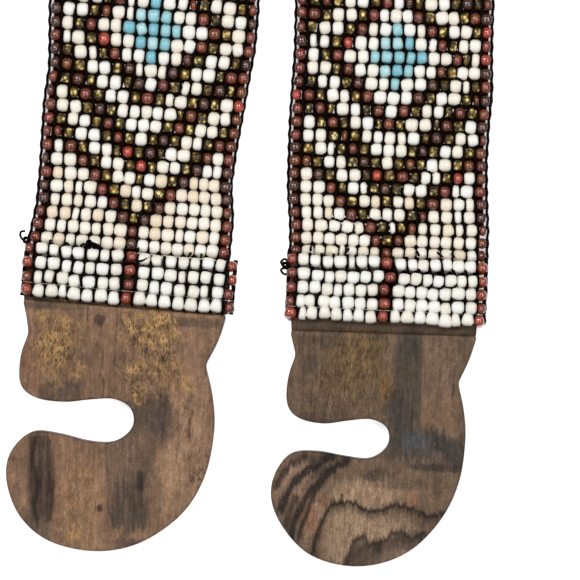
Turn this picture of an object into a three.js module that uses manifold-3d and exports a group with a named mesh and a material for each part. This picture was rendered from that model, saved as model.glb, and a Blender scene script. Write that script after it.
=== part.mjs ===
// A hand-loomed beaded belt with a flat carved wooden hook at each end, in millimetres, +Z up.
// The two ends lie flat, side by side. Past them the band turns onto its edge and runs round in one loop.
// Origin: middle of the belt's box, on the surface that it lies on. +Y runs from the hooks to the loop.
import * as THREE from 'three';
import * as BufferGeometryUtils from 'three/addons/utils/BufferGeometryUtils.js';
import Module from 'manifold-3d';

const wasm = await Module();
wasm.setup();

// Beadwork
const beadColumns = 17;          // beads in a row
const columnPitch = 2.72;        // one bead and the warp thread beside it, across the band
const warpDiameter = 0.45;       // black threads that run the length of the band
const rowPitch = 3.103;          // from one row of beads to the next
const beadRows = 233;            // rows from hook to hook
const beadDiameter = 2.95;       // the band is one bead thick

// How the belt lies
const endSpacing = 59.6;         // between the middles of the band's two ends
const stripLean = 1.5;           // degrees that each flat strip leans towards the other one
const flatLength = 82;           // flat part of each strip, from the band's end
const twistLength = 112;         // stretch in which the band turns from flat to standing on its edge
const splayAngle = 12;           // degrees that the standing sides spread away from each other
const bandStep = 4;              // length of one facet along the band

// Turned-back ends of the band
const seamGap = 0.3;             // between beadwork and what it lies on
const flapWiden = 1.35;          // how far the thick edge thread stands out, each side of a flap
const flapSlopeStart = 0.3;      // where a flap starts to fall, past the end of the wooden tongue

// Carved hooks
const woodThickness = 6.5;
const edgeRounding = 0.6;        // worn edges all round
const edgeFacets = 2;
const tongueThickness = 2.2;     // thinned head that the beadwork wraps
const tongueReach = 7.5;         // past the band's end
const tongueFlare = 0.6;         // the head widens this much on each side
const curveFacets = 2;           // facets between two points of the outline
const warpHoleDiameter = 1.2;    // holes that the warp threads pass through
const warpHoleInset = 1.5;       // from the band's end to the row of holes
const warpHoleSides = 8;
const columnsPerHole = 2;

// The two ends were finished by hand and differ: sizes in millimetres, turns in degrees.
const ends = {
  left: {
    side: -1, hookWidth: 47.4, hookLength: 57.0, hookTurn: 0.4, hookShift: -0.6,
    shoulderGap: 0.3, flapLength: 12.3, flapEase: 1.0,
  },
  right: {
    side: 1, hookWidth: 43.4, hookLength: 54.3, hookTurn: 0.15, hookShift: 0.0,
    shoulderGap: 2.65, flapLength: 15.2, flapEase: 0.0,
  },
};

// Outline of each hook below its shoulder line, anticlockwise from the left end of the line.
// x is a share of the hook's width, from the middle of the line. y is a share of its length, downwards.
// A row marked corner ends one smooth curve and starts the next.
const hookOutline = [
  { place: 'left shoulder', corner: true, left: [-0.500, 0.000], right: [-0.500, 0.000] },
  { place: 'neck', left: [-0.475, 0.069], right: [-0.484, 0.055] },
  { place: 'left notch', corner: true, left: [-0.458, 0.137], right: [-0.465, 0.104] },
  { place: 'finger side', left: [-0.488, 0.233], right: [-0.502, 0.201] },
  { place: 'finger side', left: [-0.477, 0.347], right: [-0.505, 0.312] },
  { place: 'finger tip', left: [-0.396, 0.396], right: [-0.447, 0.372] },
  { place: 'slot top', left: [-0.258, 0.404], right: [-0.312, 0.395] },
  { place: 'slot top', left: [-0.132, 0.386], right: [-0.174, 0.379] },
  { place: 'slot top', left: [-0.015, 0.376], right: [-0.051, 0.370] },
  { place: 'slot end', left: [0.071, 0.410], right: [0.036, 0.407] },
  { place: 'slot end', left: [0.084, 0.485], right: [0.041, 0.482] },
  { place: 'slot bottom', left: [0.001, 0.548], right: [-0.050, 0.537] },
  { place: 'slot bottom', left: [-0.125, 0.554], right: [-0.184, 0.531] },
  { place: 'slot bottom', left: [-0.269, 0.534], right: [-0.335, 0.514] },
  { place: 'lobe tip', left: [-0.407, 0.536], right: [-0.478, 0.529] },
  { place: 'lobe', left: [-0.501, 0.626], right: [-0.563, 0.629] },
  { place: 'lobe', left: [-0.509, 0.740], right: [-0.569, 0.740] },
  { place: 'lobe', left: [-0.440, 0.870], right: [-0.492, 0.858] },
  { place: 'lobe', left: [-0.312, 0.960], right: [-0.360, 0.955] },
  { place: 'bottom', left: [-0.141, 0.997], right: [-0.171, 0.998] },
  { place: 'lobe', left: [0.034, 0.990], right: [0.021, 0.984] },
  { place: 'lobe', left: [0.201, 0.934], right: [0.200, 0.912] },
  { place: 'lobe', left: [0.365, 0.814], right: [0.349, 0.773] },
  { place: 'back', left: [0.456, 0.662], right: [0.431, 0.613] },
  { place: 'back', left: [0.484, 0.478], right: [0.454, 0.433] },
  { place: 'back', left: [0.463, 0.337], right: [0.438, 0.310] },
  { place: 'right notch', corner: true, left: [0.416, 0.210], right: [0.405, 0.204] },
  { place: 'neck', left: [0.469, 0.108], right: [0.460, 0.106] },
  { place: 'right shoulder', corner: true, left: [0.500, 0.000], right: [0.500, 0.000] },
];

const glass = new THREE.MeshStandardMaterial({ color: 0xe9dcc6, roughness: 0.25, metalness: 0 });
const glassEnd = new THREE.MeshStandardMaterial({ color: 0xf3ede1, roughness: 0.25, metalness: 0 });
const wood = {
  left: new THREE.MeshStandardMaterial({ color: 0x7d6149, roughness: 0.5, metalness: 0 }),
  right: new THREE.MeshStandardMaterial({ color: 0x6b5647, roughness: 0.5, metalness: 0 }),
};

// Worked out from the driving dimensions
const bandWidth = beadColumns * columnPitch + warpDiameter;
const bandLength = beadRows * rowPitch;
const tongueBottom = beadDiameter + seamGap;
const tongueTop = tongueBottom + tongueThickness;
const flapBottom = tongueTop + seamGap;

// Half of the belt's line, from the band's end to the middle of the loop: a straight strip, the bend
// in which it turns on edge, a straight side, and an arc that ends on the line of symmetry. The side's
// length follows from the band's, so the two halves always meet.
function halfLine() {
  const lean = THREE.MathUtils.degToRad(stripLean);
  const splay = THREE.MathUtils.degToRad(splayAngle);
  const strip = { length: flatLength, turn: 0 };
  const bend = { length: twistLength, turn: lean + splay };
  const start = { x: endSpacing / 2, y: 0, heading: -lean };
  const afterBend = walk(walk(start, strip, strip.length), bend, bend.length);
  const arcPerWidth = (Math.PI / 2 + splay) / Math.cos(splay);
  const rest = bandLength / 2 - flatLength - twistLength - afterBend.x * arcPerWidth;
  const side = { length: rest / (1 + Math.sin(splay) * arcPerWidth), turn: 0 };
  const radius = (afterBend.x + side.length * Math.sin(splay)) / Math.cos(splay);
  const arc = { length: radius * (Math.PI / 2 + splay), turn: -(Math.PI / 2 + splay) };
  return { start, stretches: [strip, bend, side, arc] };
}

// The point and heading reached after some distance on a straight or an arc.
// Heading is the angle from +Y towards +X.
function walk(from, stretch, distance) {
  if (stretch.turn === 0) {
    return {
      x: from.x + distance * Math.sin(from.heading),
      y: from.y + distance * Math.cos(from.heading),
      heading: from.heading,
    };
  }
  const curvature = stretch.turn / stretch.length;
  const heading = from.heading + curvature * distance;
  return {
    x: from.x + (Math.cos(from.heading) - Math.cos(heading)) / curvature,
    y: from.y + (Math.sin(heading) - Math.sin(from.heading)) / curvature,
    heading,
  };
}

function pointOnLine(line, distance) {
  let at = line.start;
  let left = distance;
  const last = line.stretches.length - 1;
  for (const [index, stretch] of line.stretches.entries()) {
    const step = index === last ? left : Math.min(left, stretch.length);
    at = walk(at, stretch, step);
    left -= step;
    if (left <= 0) break;
  }
  return at;
}

// The loomed band: a flat bar bent along the belt's line and turned from lying flat to standing
// on its outer edge, which stays on the surface all the way round.
function beadedBand() {
  const line = halfLine();
  const steps = Math.round(bandLength / bandStep);
  const bar = new THREE.BoxGeometry(bandLength, bandWidth, beadDiameter, steps, 1, 1);
  const corner = bar.attributes.position;
  for (let i = 0; i < corner.count; i += 1) {
    const along = corner.getX(i);
    const outwards = corner.getY(i);
    const upwards = corner.getZ(i);
    const distance = bandLength / 2 - Math.abs(along);
    const at = pointOnLine(line, distance);
    const stand = Math.PI / 2 * THREE.MathUtils.smoothstep(distance, flatLength, flatLength + twistLength);
    const plan = outwards * Math.cos(stand) + upwards * Math.sin(stand);
    const height = bandWidth / 2 * Math.sin(stand) + beadDiameter / 2 * Math.cos(stand)
      - outwards * Math.sin(stand) + upwards * Math.cos(stand);
    const side = along < 0 ? -1 : 1;
    corner.setXYZ(i, side * (at.x + plan * Math.cos(at.heading)), at.y - plan * Math.sin(at.heading), height);
  }
  return closedGeometry(bar);
}

// A turned-back end: it lies level over the wooden tongue and falls to the band at its sewn edge.
function flap(end) {
  const level = tongueReach + flapSlopeStart;
  const sewnBottom = beadDiameter + seamGap;
  const profile = new THREE.Shape();
  profile.moveTo(0, flapBottom);
  profile.lineTo(level, flapBottom);
  profile.lineTo(end.flapLength, sewnBottom);
  profile.lineTo(end.flapLength, sewnBottom + beadDiameter);
  profile.lineTo(level, flapBottom + beadDiameter);
  profile.lineTo(0, flapBottom + beadDiameter);
  profile.closePath();
  const width = bandWidth + 2 * (flapWiden + end.flapEase);
  const plate = new THREE.ExtrudeGeometry(profile, { depth: width, bevelEnabled: false });
  plate.translate(0, 0, -width / 2);
  plate.rotateX(Math.PI / 2);
  plate.rotateZ(Math.PI / 2);
  return closedGeometry(plate);
}

// A carved hook: the outline below the shoulder line at full thickness, and above it a tongue with
// a row of holes for the warp threads.
function hook(name, end) {
  const points = hookOutline.map((row) => new THREE.Vector2(
    row[name][0] * end.hookWidth,
    -row[name][1] * end.hookLength,
  ));
  const path = new THREE.Path();
  path.moveTo(points[0].x, points[0].y);
  let curve = [];
  for (let i = 1; i < points.length; i += 1) {
    curve.push(points[i]);
    if (hookOutline[i].corner) {
      path.splineThru(curve);
      curve = [];
    }
  }
  const shape = new THREE.Shape(path.getPoints(curveFacets));
  const body = new THREE.ExtrudeGeometry(shape, {
    depth: woodThickness - 2 * edgeRounding,
    bevelThickness: edgeRounding,
    bevelSize: edgeRounding,
    bevelOffset: -edgeRounding,
    bevelSegments: edgeFacets,
  });
  body.translate(0, 0, edgeRounding);

  const reach = end.shoulderGap + tongueReach;
  const root = -2 * edgeRounding;
  const half = end.hookWidth / 2 - edgeRounding;
  const head = new THREE.Shape();
  head.moveTo(-half, root);
  head.lineTo(half, root);
  head.lineTo(half + edgeRounding, 0);
  head.lineTo(half + edgeRounding + tongueFlare, reach);
  head.lineTo(-half - edgeRounding - tongueFlare, reach);
  head.lineTo(-half - edgeRounding, 0);
  head.closePath();
  const tongue = new THREE.ExtrudeGeometry(head, { depth: tongueThickness, bevelEnabled: false });
  tongue.translate(0, 0, tongueBottom);

  let solid = solidOf(body).add(solidOf(tongue));
  const holes = Math.floor(beadColumns / columnsPerHole) + 1;
  const holePitch = columnsPerHole * columnPitch;
  for (let i = 0; i < holes; i += 1) {
    const drill = new THREE.CylinderGeometry(
      warpHoleDiameter / 2, warpHoleDiameter / 2, 2 * woodThickness, warpHoleSides,
    );
    drill.rotateX(Math.PI / 2);
    drill.translate((i - (holes - 1) / 2) * holePitch, end.shoulderGap + warpHoleInset, woodThickness / 2);
    solid = solid.subtract(solidOf(drill));
  }
  return geometryOf(solid);
}

function closedGeometry(geometry) {
  const bare = geometry.clone();
  bare.deleteAttribute('normal');
  bare.deleteAttribute('uv');
  const closed = BufferGeometryUtils.mergeVertices(bare, 1e-4);
  closed.computeVertexNormals();
  return closed;
}

function solidOf(geometry) {
  const closed = closedGeometry(geometry);
  return new wasm.Manifold(new wasm.Mesh({
    numProp: 3,
    vertProperties: new Float32Array(closed.attributes.position.array),
    triVerts: new Uint32Array(closed.index.array),
  }));
}

function geometryOf(solid) {
  const result = solid.getMesh();
  const geometry = new THREE.BufferGeometry();
  geometry.setAttribute('position', new THREE.BufferAttribute(result.vertProperties, 3));
  geometry.setIndex(new THREE.BufferAttribute(result.triVerts, 1));
  geometry.computeVertexNormals();
  return geometry;
}

function namedMesh(name, geometry, material) {
  const mesh = new THREE.Mesh(geometry, material);
  mesh.name = name;
  return mesh;
}

const belt = new THREE.Group();
belt.add(namedMesh('beaded_band', beadedBand(), glass));
for (const [name, end] of Object.entries(ends)) {
  const place = new THREE.Group();
  place.position.set(end.side * endSpacing / 2, 0, 0);
  place.rotation.z = end.side * THREE.MathUtils.degToRad(stripLean);
  const carved = namedMesh(`hook_${name}`, hook(name, end), wood[name]);
  carved.position.set(end.hookShift, -end.shoulderGap, 0);
  carved.rotation.z = THREE.MathUtils.degToRad(end.hookTurn);
  place.add(carved);
  place.add(namedMesh(`flap_${name}`, flap(end), glassEnd));
  belt.add(place);
}

// Stand the belt's box on its origin.
belt.updateMatrixWorld(true);
const box = new THREE.Box3().setFromObject(belt, true);
const middle = box.getCenter(new THREE.Vector3());
belt.position.set(-middle.x, -middle.y, -box.min.z);
belt.updateMatrixWorld(true);

export default belt;
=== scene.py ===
from math import cos, pi, radians, sin

import bpy
import numpy as np
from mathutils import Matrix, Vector
from mathutils.geometry import delaunay_2d_cdt


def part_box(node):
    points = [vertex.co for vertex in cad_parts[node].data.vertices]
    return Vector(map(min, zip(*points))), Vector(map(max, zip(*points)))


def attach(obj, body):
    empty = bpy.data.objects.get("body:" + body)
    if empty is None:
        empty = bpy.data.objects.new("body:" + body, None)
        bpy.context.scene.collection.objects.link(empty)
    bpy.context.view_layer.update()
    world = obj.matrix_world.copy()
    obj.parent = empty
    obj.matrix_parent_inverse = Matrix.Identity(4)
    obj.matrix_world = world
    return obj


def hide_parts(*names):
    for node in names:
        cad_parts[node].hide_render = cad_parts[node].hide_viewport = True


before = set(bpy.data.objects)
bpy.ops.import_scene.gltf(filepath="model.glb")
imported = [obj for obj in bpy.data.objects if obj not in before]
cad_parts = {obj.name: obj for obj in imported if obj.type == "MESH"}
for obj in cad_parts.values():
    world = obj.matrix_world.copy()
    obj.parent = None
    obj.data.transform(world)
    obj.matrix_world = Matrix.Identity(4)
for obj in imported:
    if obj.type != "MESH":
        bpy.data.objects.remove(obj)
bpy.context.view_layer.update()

# Black waxed warp threads. Eighteen run the whole length of the band, one on each side of every column
# of beads, and the outer two swell round the edge beads. The ends lie flat, and between them the band
# turns onto its outer edge and runs round in one standing loop.
bead_columns = 17
column_pitch = 0.00272
warp_diameter = 0.00045
bead_rows = 233
row_pitch = 0.003103
band_thickness = 0.00295
band_width = bead_columns * column_pitch + warp_diameter
half_length = bead_rows * row_pitch / 2
end_spacing = 0.0596
strip_lean = radians(1.5)
splay = radians(12)
flat_length = 0.082
twist_length = 0.112

band_low, band_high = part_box("beaded_band")
lay_x = (band_low.x + band_high.x) / 2
lay_y = band_low.y + band_width / 2 * sin(strip_lean)

# Where the real strips stray from a straight line: distance from the band's end, sideways drift
# towards the photograph's right, width as a share of the plain band's, and how far the middle
# columns bow to the right between the edges.
stray = {
    -1: {
        "distance": np.array([0.000, 0.014, 0.022, 0.030, 0.038, 0.046, 0.054, 0.062, 0.070, 0.100]),
        "drift": np.array([-0.5, -0.9, -0.3, -0.8, -0.7, -0.4, 0.2, 0.3, 0.0, 0.0]) / 1000,
        "width": np.array([1.02, 1.01, 0.99, 0.965, 0.98, 1.00, 1.005, 1.035, 1.05, 1.0]),
        "bow": np.array([0.2, 0.3, 0.6, 0.7, 0.7, 0.6, 0.6, 0.6, 0.5, 0.0]) / 1000,
    },
    1: {
        "distance": np.array([0.000, 0.014, 0.022, 0.030, 0.038, 0.046, 0.054, 0.062, 0.070, 0.100]),
        "drift": np.array([0.3, 0.6, 0.5, -0.2, -0.4, -0.3, 0.1, 0.1, 0.0, 0.0]) / 1000,
        "width": np.array([1.00, 0.99, 0.995, 1.00, 0.995, 1.00, 1.005, 0.99, 0.99, 1.0]),
        "bow": np.array([0.2, -0.3, -0.6, -0.2, 0.1, 0.4, 0.7, 0.9, 0.9, 0.0]) / 1000,
    },
}


def lay_line(distance):
    """Middle line of the right half. A straight strip, the bend in which the band turns on edge, a
    straight side and an arc that ends on the line of symmetry follow each other, each walked as far
    as the distance reaches. Heading is the angle from +Y towards +X."""
    arc_share = (pi / 2 + splay) / cos(splay)
    bend_curve = (strip_lean + splay) / twist_length
    bend_x = end_spacing / 2 - flat_length * sin(strip_lean) + (cos(strip_lean) - cos(splay)) / bend_curve
    side = (half_length - flat_length - twist_length - bend_x * arc_share) / (1 + sin(splay) * arc_share)
    radius = (bend_x + side * sin(splay)) / cos(splay)
    arc = radius * (pi / 2 + splay)
    left = np.array(distance, float)
    x = np.full_like(left, end_spacing / 2)
    y = np.zeros_like(left)
    heading = np.full_like(left, -strip_lean)
    for length, curve in ((flat_length, 0), (twist_length, bend_curve), (side, 0), (arc, -1 / radius)):
        step = np.minimum(left, length)
        left = np.maximum(left - length, 0)
        after = heading + curve * step
        if curve:
            x += (np.cos(heading) - np.cos(after)) / curve
            y += (np.sin(after) - np.sin(heading)) / curve
        else:
            x += step * np.sin(heading)
            y += step * np.cos(heading)
        heading = after
    return x, y, heading


def band_frame(along):
    """Middle of the band and its three directions at signed distances from the middle of the loop,
    minus on the left. Outwards points to the edge that stands on the surface, front is the face that
    shows, and travel runs from the left end to the right one. The band turns from flat to on edge by
    a smooth step, and its outer edge stays on the surface."""
    along = np.asarray(along, float)
    side = np.where(along < 0, -1.0, 1.0)
    distance = half_length - np.abs(along)
    x, y, heading = lay_line(distance)
    part = np.clip((distance - flat_length) / twist_length, 0, 1)
    stand = pi / 2 * part * part * (3 - 2 * part)
    zero = np.zeros_like(x)
    plan = np.stack([side * np.cos(heading), -np.sin(heading), zero], -1)
    up = np.array([0.0, 0.0, 1.0])
    outwards = np.cos(stand)[..., None] * plan - np.sin(stand)[..., None] * up
    front = np.sin(stand)[..., None] * plan + np.cos(stand)[..., None] * up
    travel = np.stack([-np.sin(heading), -side * np.cos(heading), zero], -1)
    height = band_width / 2 * np.sin(stand) + band_thickness / 2 * np.cos(stand)
    middle = np.stack([side * x + lay_x, y + lay_y, height], -1)
    return middle, outwards, front, travel


def on_band(along, across, lift):
    """A point of the band: across is measured outwards from the middle and stretched and shifted as
    the real strips are, and lift is measured from the middle of the thickness towards the front."""
    middle, outwards, front, travel = band_frame(along)
    side = np.where(np.asarray(along) < 0, -1.0, 1.0)
    distance = half_length - np.abs(along)
    width = np.ones_like(distance)
    drift = np.zeros_like(distance)
    bow = np.zeros_like(distance)
    for hand, table in stray.items():
        here = side == hand
        width = np.where(here, np.interp(distance, table["distance"], table["width"]), width)
        drift = np.where(here, np.interp(distance, table["distance"], table["drift"]), drift)
        bow = np.where(here, np.interp(distance, table["distance"], table["bow"]), bow)
    shifted = across * width + side * (drift + bow * (1 - (across * 2 / band_width) ** 2))
    return middle + shifted[..., None] * outwards + np.asarray(lift)[..., None] * front


def paint(code):
    """A hexadecimal screen colour as linear red, green, blue and alpha."""
    screen = np.array([int(code[i:i + 2], 16) for i in (1, 3, 5)]) / 255
    linear = np.where(screen <= 0.04045, screen / 12.92, ((screen + 0.055) / 1.055) ** 2.4)
    return (*linear.tolist(), 1.0)


def make_mesh(name, points, faces, material, slot, node=None, **attributes):
    """A smooth mesh object at the origin from an array of points and an array or list of faces, with its
    material, and the CAD part it stands for, if one is given, hidden. The slot is not used. Attributes are
    arrays with one value, vector or colour for each point. What would sink into the table is pressed flat on it."""
    points = points.reshape(-1, 3).copy()
    points[:, 2] = np.maximum(points[:, 2], 0)
    mesh = bpy.data.meshes.new(name)
    mesh.from_pydata(points.tolist(), [], faces.tolist() if hasattr(faces, "tolist") else faces)
    mesh.polygons.foreach_set("use_smooth", np.ones(len(mesh.polygons), bool))
    kinds = {1: ("FLOAT", "value"), 3: ("FLOAT_VECTOR", "vector"), 4: ("FLOAT_COLOR", "color")}
    for key, values in attributes.items():
        kind, field = kinds[values.size // len(values)]
        layer = mesh.attributes.new(key, kind, "POINT")
        layer.data.foreach_set(field, np.asarray(values, np.float32).ravel())
    mesh.materials.append(material)
    mesh.update()
    piece = bpy.data.objects.new(name, mesh)
    bpy.context.scene.collection.objects.link(piece)
    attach(piece, "root")
    if node:
        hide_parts(node)


def grid_quads(rings, around, closed_rings=False):
    """Faces of a surface whose points run round each ring and then on to the next ring."""
    i = np.arange(rings if closed_rings else rings - 1)[:, None]
    j = np.arange(around)[None, :]
    here, there = i * around, (i + 1) % rings * around
    after = (j + 1) % around
    return np.stack([here + j, here + after, there + after, there + j], -1).reshape(-1, 4)


def repeated(faces, count, points_each):
    """Faces of many like shapes whose points follow one another."""
    return (np.arange(count)[:, None, None] * points_each + faces[None]).reshape(-1, 4)


warp_half_height = 0.00095
warp_beside = 0.00038
warp_between = 0.0006
edge_warp_half_width = 0.00036
edge_warp_half_height = 0.0008
edge_swell = 0.00012
warp_sides = 5
warp_steps_a_row = 2
thread_dark, thread_brown = "#050201", "#190C06"

# Distance of some rows from the band's end. Rows are counted from the hooks, up to the loop's middle.
middle_row = 116
row_table = {
    -1: ([0, 4, 8, 14, 20, 24, middle_row], [0.0015, 0.0142, 0.02655, 0.04515, 0.0646, 0.0775, half_length]),
    1: ([0, 4, 8, 14, 20, 24, middle_row], [0.0008, 0.0129, 0.0247, 0.04275, 0.0614, 0.0742, half_length]),
}


def row_distance(side, row):
    """Distance from the band's end by row number, on the left for a side below 0 and else on the right."""
    return np.where(np.asarray(side) < 0, np.interp(row, *row_table[-1]), np.interp(row, *row_table[1]))


# The chart counts rings of colour from the middle bead of each diamond: turquoise, white, red-brown and
# gold. Beads were picked by eye, so their lengths vary, and in each row they push the warp threads about.
diamond_repeat = 24
first_diamond_row = 20
ring_colours = "TTTWWBGWWGBGWWGB"
bead_sizes = {
    "W": {"length": 0.00254, "diameter": 0.00308, "cut": "square"},
    "B": {"length": 0.00236, "diameter": 0.00290, "cut": "round"},
    "G": {"length": 0.00224, "diameter": 0.00282, "cut": "round"},
    "T": {"length": 0.00240, "diameter": 0.00304, "cut": "square"},
}
picked_lengths = [(0.56, 1.00, 0.03), (0.18, 1.12, 0.04), (0.18, 0.86, 0.04), (0.08, 0.66, 0.07)]
strung_gap = 0.00028
shortest_bead = 0.0012
crowding = 0.75
column_lines = (np.arange(bead_columns + 1) - bead_columns / 2) * column_pitch
half_row = bead_columns * column_pitch / 2
dice = np.random.default_rng(17)


def chart(row, column):
    """Letter of each bead's colour, from its row and column as arrays."""
    below = first_diamond_row - row
    folded = (below + diamond_repeat / 2) % diamond_repeat - diamond_repeat / 2
    rise = np.abs(np.where(below > 0, below, folded))
    ring = (np.abs(column - bead_columns // 2) + rise).astype(int)
    letters = np.array(list(ring_colours + "W" * 60))[ring]
    centre = column == bead_columns // 2
    letters = np.where(centre & (ring == 6), "W", letters)
    letters = np.where(centre & (ring >= 15), "B", letters)
    return np.where((column == 0) | (column == bead_columns - 1), "B", letters)


def strung(count):
    """Rows of beads from the hook on: letters, lengths and the lines of the threads between columns.
    Each row's beads share out the width by their lengths, and the threads follow them most of the way."""
    row, column = np.meshgrid(np.arange(count), np.arange(bead_columns), indexing="ij")
    letters = chart(row, column)
    mean = np.select([letters == key for key in bead_sizes],
                     [size["length"] for size in bead_sizes.values()])
    pick = dice.choice(len(picked_lengths), p=[each[0] for each in picked_lengths], size=letters.shape)
    length = mean * np.choose(
        pick, [dice.normal(share, spread, pick.shape) for _, share, spread in picked_lengths])
    room = length + strung_gap
    room *= bead_columns * column_pitch / room.sum(1, keepdims=True)
    packed = np.c_[np.zeros(count), np.cumsum(room, 1)] - half_row
    lines = column_lines + crowding * (packed - column_lines)
    length = np.clip(length, shortest_bead, np.diff(lines) - 0.00008)
    return {"row": row, "column": column, "letter": letters, "length": length, "lines": lines,
            "middle": (lines[:, 1:] + lines[:, :-1]) / 2}


loom = {-1: strung(middle_row + 1), 1: strung(middle_row)}


def thread_lines(side, table, station):
    """How far outwards each warp thread lies at some row numbers, between the rows' own lines."""
    low = np.clip(np.floor(station).astype(int), 0, len(table) - 1)
    high = np.minimum(low + 1, len(table) - 1)
    part = (station - low)[:, None]
    lines = table[low] * (1 - part) + table[high] * part
    return lines if side > 0 else -lines[:, ::-1]


class Finish:
    """A material under construction. Each method adds one node and gives back its output. A value may be
    a constant or another node's output."""

    def __init__(self, name):
        self.material = bpy.data.materials.new(name)
        self.material.use_nodes = True
        self.tree = self.material.node_tree

    def feed(self, node, sockets):
        for key, value in sockets.items():
            if isinstance(value, bpy.types.NodeSocket):
                self.tree.links.new(value, node.inputs[key])
            else:
                node.inputs[key].default_value = value
        return node

    def node(self, kind, sockets, **settings):
        node = self.tree.nodes.new("ShaderNode" + kind)
        for key, value in settings.items():
            setattr(node, key, value)
        return self.feed(node, sockets)

    def place(self):
        return self.node("TexCoord", {}).outputs["Object"]

    def attribute(self, key, output="Fac"):
        return self.node("Attribute", {}, attribute_name=key).outputs[output]

    def noise(self, sockets, output="Fac", **settings):
        return self.node("TexNoise", sockets, **settings).outputs[output]

    def math(self, operation, *values, clamp=False):
        node = self.node("Math", dict(enumerate(values)), operation=operation, use_clamp=clamp)
        return node.outputs["Value"]

    def mix(self, kind, share, a, b):
        return self.node("Mix", {"Factor": share, 6: a, 7: b}, data_type="RGBA", blend_type=kind).outputs[2]

    def remap(self, value, low, high):
        """0 at low and 1 at high."""
        return self.node("MapRange", {"Value": value, "From Min": low, "From Max": high}).outputs["Result"]

    def ramp(self, share, low, high):
        """Two colours blended by the share, each given after the place where it is pure."""
        node = self.node("ValToRGB", {"Fac": share})
        for element, (position, code) in zip(node.color_ramp.elements, (low, high)):
            element.position = position
            element.color = paint(code)
        return node.outputs["Color"]

    def bump(self, height, strength, distance):
        node = self.node("Bump", {"Height": height, "Strength": strength, "Distance": distance})
        return node.outputs["Normal"]

    def shade(self, sockets):
        self.feed(self.tree.nodes["Principled BSDF"], sockets)
        return self.material


def thread_material():
    """Nearly black thread with a faint sheen: fine ridges run round it, and brown shows where it frays."""
    thread = Finish("black waxed thread")
    fray = thread.noise({"Vector": thread.place(), "Scale": 900, "Detail": 4})
    return thread.shade({
        "Base Color": thread.ramp(fray, (0.45, thread_dark), (0.75, thread_brown)),
        "Normal": thread.bump(fray, 0.5, 0.0001), "Roughness": 0.7, "Specular IOR Level": 0.05,
    })


black_thread = thread_material()


def threads(name, centre, wide, high, axis_a, axis_b, material, slot, node=None, sides=warp_sides):
    """Round threads: arrays of centres by thread and step, with an ellipse of half-width wide along
    axis_a and half-height high along axis_b at each, joined into closed tubes with flat ends."""
    count, steps = centre.shape[:2]
    angle = 2 * pi * np.arange(sides) / sides
    wide = np.broadcast_to(wide, (count, steps))
    high = np.broadcast_to(high, (count, steps))
    ring = (
        centre[:, :, None]
        + (wide[..., None] * np.cos(angle))[..., None] * axis_a[:, :, None]
        + (high[..., None] * np.sin(angle))[..., None] * axis_b[:, :, None]
    )
    first = np.arange(count)[:, None] * steps * sides
    near = first + np.arange(sides)[::-1]
    far = first + (steps - 1) * sides + np.arange(sides)
    walls = repeated(grid_quads(steps, sides), count, steps * sides)
    make_mesh(name, ring, walls.tolist() + near.tolist() + far.tolist(), material, slot, node)


stations = np.arange(0, middle_row, 1 / warp_steps_a_row)
warp_along = np.r_[-half_length, row_distance(-1, stations) - half_length, 0.0,
                   half_length - row_distance(1, stations)[::-1], half_length]
warp_phase = np.r_[0.5, stations, middle_row, stations[::-1], 0.5]
across = np.vstack([
    thread_lines(-1, loom[-1]["lines"], np.r_[0, stations, middle_row]),
    thread_lines(1, loom[1]["lines"], np.r_[stations[::-1], 0]),
]).T
is_edge = np.abs(np.arange(bead_columns + 1) - bead_columns / 2) == bead_columns / 2
swell = np.where(is_edge[:, None], edge_swell * np.cos(2 * pi * warp_phase)[None, :], 0.0)
across = across + np.sign(across) * swell
along = np.broadcast_to(warp_along, across.shape)
_, outwards, front, _ = band_frame(along)
# Painted shade: each thread widens where two rows of beads meet, so the corners between the beads stay dark.
half_width = warp_beside + (warp_between - warp_beside) * (warp_phase % 1 > 0.25)[None]
threads(
    "warp_threads", on_band(along, across, np.zeros_like(across)),
    np.where(is_edge[:, None], edge_warp_half_width, half_width),
    np.where(is_edge, edge_warp_half_height, warp_half_height)[:, None],
    outwards, front, black_thread, "warp_thread", "beaded_band",
)

# Painted shade: a dark waxed thread is carried across between the outer threads and low in the hollow between
# two rows of beads, so that the gaps between rows stay dark. It fills the hollow where the turn of the band
# spreads the rows.
weft_shade_half_width = 0.00062
weft_shade_half_height = 0.0003
weft_shade_depth = 0.0006
weft_shade_widening = 0.8
weft_shade_reach, weft_shade_reach_near_hook = 0.965, 0.885
near_hook = 0.0225
between_rows = np.arange(middle_row) + 0.5
left_gaps = row_distance(-1, between_rows) - half_length
right_gaps = half_length - row_distance(1, between_rows)
weft_shade_along = np.r_[left_gaps, right_gaps[::-1]][:, None]
weft_shade_end = np.where(weft_shade_along > half_length - near_hook, weft_shade_reach_near_hook, weft_shade_reach)
across = (np.linspace(0, 1, 9)[None, :] * (weft_shade_end + weft_shade_reach) - weft_shade_reach) * half_row
along = np.broadcast_to(weft_shade_along, across.shape)
_, outwards, front, travel = band_frame(along)
level = np.full(across.shape, -weft_shade_depth)
ahead = on_band(along + row_pitch / 2, across, level)
spread = np.linalg.norm(ahead - on_band(along - row_pitch / 2, across, level), axis=-1) - row_pitch
threads("weft_shade_threads", on_band(along, across, level),
        weft_shade_half_width + weft_shade_widening * np.maximum(spread, 0), weft_shade_half_height, travel, front,
        black_thread, "warp_thread", "beaded_band", sides=6)

# Seed beads of the band, drawn glass cut and tumbled round, with their holes across the band. Each kind
# of glass has its own look: opaque ivory and turquoise, glossy red-brown, and silver-lined amber.
bead_sides = 8
turned_share = 0.965
bead_cuts = {
    "square": [(-0.93, 0.30), (-1.00, 0.56), (-0.85, 0.87), (-0.38, 1.00),
               (0.38, 1.00), (0.85, 0.87), (1.00, 0.56), (0.93, 0.30)],
    "round": [(-0.90, 0.28), (-1.00, 0.50), (-0.78, 0.80), (-0.32, 0.98),
              (0.32, 0.98), (0.78, 0.80), (1.00, 0.50), (0.90, 0.28)],
}


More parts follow.
